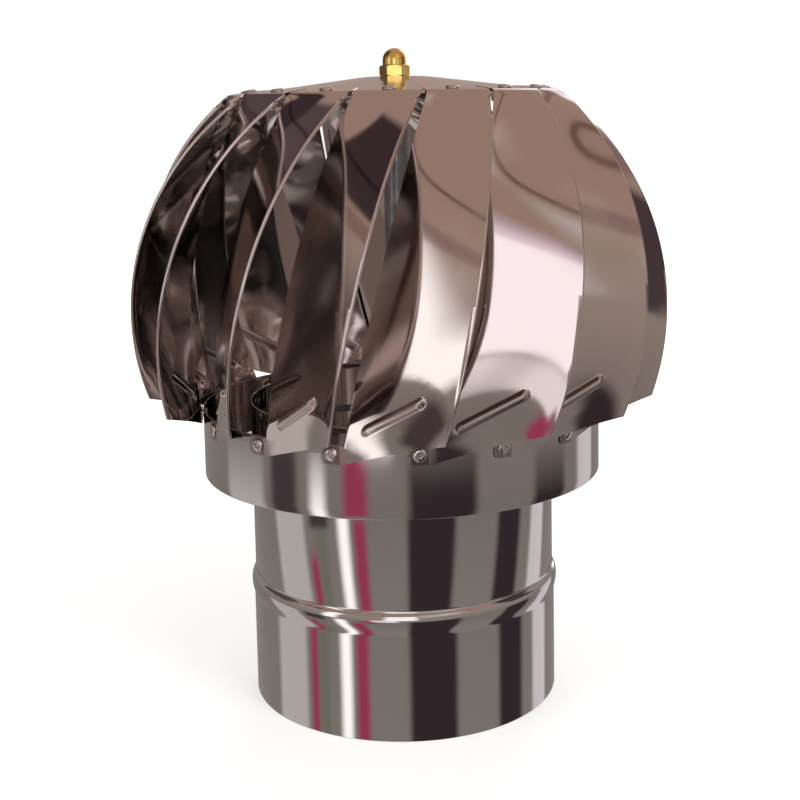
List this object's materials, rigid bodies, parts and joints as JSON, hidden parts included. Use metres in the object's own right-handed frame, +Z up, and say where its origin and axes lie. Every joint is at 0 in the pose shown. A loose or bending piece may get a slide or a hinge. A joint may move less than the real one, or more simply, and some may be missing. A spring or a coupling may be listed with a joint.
{
  "type": "roof turbine ventilator",
  "caption": "Wind-driven chimney cowl: a globe of curved polished sheet vanes spins on a fixed round neck that slips over a flue pipe.",
  "frame": {"origin": "On the turning axis, at the bottom rim of the fixed neck.", "axes": "+Z up along the turning axis, -Y to the front, +X to the right seen from the front."},
  "size_m": [0.2424, 0.2424, 0.298],
  "materials": {
    "mirror_stainless": "mirror polished",
    "neck_stainless": "mirror polished",
    "rivet_stainless": "bright",
    "bracket_steel": "satin",
    "zinc_steel": "zinc plated",
    "bearing_steel": "ground",
    "spring_steel": "blacked",
    "cage_nylon": "moulded",
    "polished_brass": "polished"
  },
  "bodies": {
    "base": {"neck_pipe": "neck_stainless", "lower_cross_bar": "bracket_steel", "upper_cross_bar": "bracket_steel", "bar_rivets": "rivet_stainless", "bearing_housing": "bracket_steel", "lower_circlip": "spring_steel", "upper_circlip": "spring_steel", "lower_outer_race": "bearing_steel", "upper_outer_race": "bearing_steel", "bearing_shields": "bearing_steel"},
    "rotor": {"shaft": "zinc_steel", "lower_inner_race": "bearing_steel", "upper_inner_race": "bearing_steel", "race_spacer": "zinc_steel", "shaft_sleeve": "zinc_steel", "tail_washer": "zinc_steel", "tail_nut": "zinc_steel", "clamp_washer": "zinc_steel", "dome_nut": "polished_brass", "cap": "mirror_stainless", "skirt_ring": "mirror_stainless", "vane_01": "mirror_stainless", "vane_02": "mirror_stainless", "vane_03": "mirror_stainless", "vane_04": "mirror_stainless", "vane_05": "mirror_stainless", "vane_06": "mirror_stainless", "vane_07": "mirror_stainless", "vane_08": "mirror_stainless", "vane_09": "mirror_stainless", "vane_10": "mirror_stainless", "vane_11": "mirror_stainless", "vane_12": "mirror_stainless", "vane_13": "mirror_stainless", "vane_14": "mirror_stainless", "vane_15": "mirror_stainless", "vane_16": "mirror_stainless", "tab_rivets": "rivet_stainless", "foot_rivets": "rivet_stainless"},
    "lower_ball_set": {"lower_balls": "bearing_steel", "lower_ball_cage": "cage_nylon"},
    "upper_ball_set": {"upper_balls": "bearing_steel", "upper_ball_cage": "cage_nylon"}
  },
  "joints": [
    {"name": "rotor_spin", "type": "hinge", "parent": "base", "child": "rotor", "pos_m": [0, 0, 0.18], "axis": [0, 0, 1], "continuous": true},
    {"name": "lower_cage_spin", "type": "hinge", "parent": "base", "child": "lower_ball_set", "pos_m": [0, 0, 0.06754], "axis": [0, 0, 1], "continuous": true},
    {"name": "upper_cage_spin", "type": "hinge", "parent": "base", "child": "upper_ball_set", "pos_m": [0, 0, 0.12046], "axis": [0, 0, 1], "continuous": true}
  ],
  "couplings": [
    {"joint": "lower_cage_spin", "follows": "rotor_spin", "ratio": 0.3677},
    {"joint": "upper_cage_spin", "follows": "rotor_spin", "ratio": 0.3677}
  ]
}
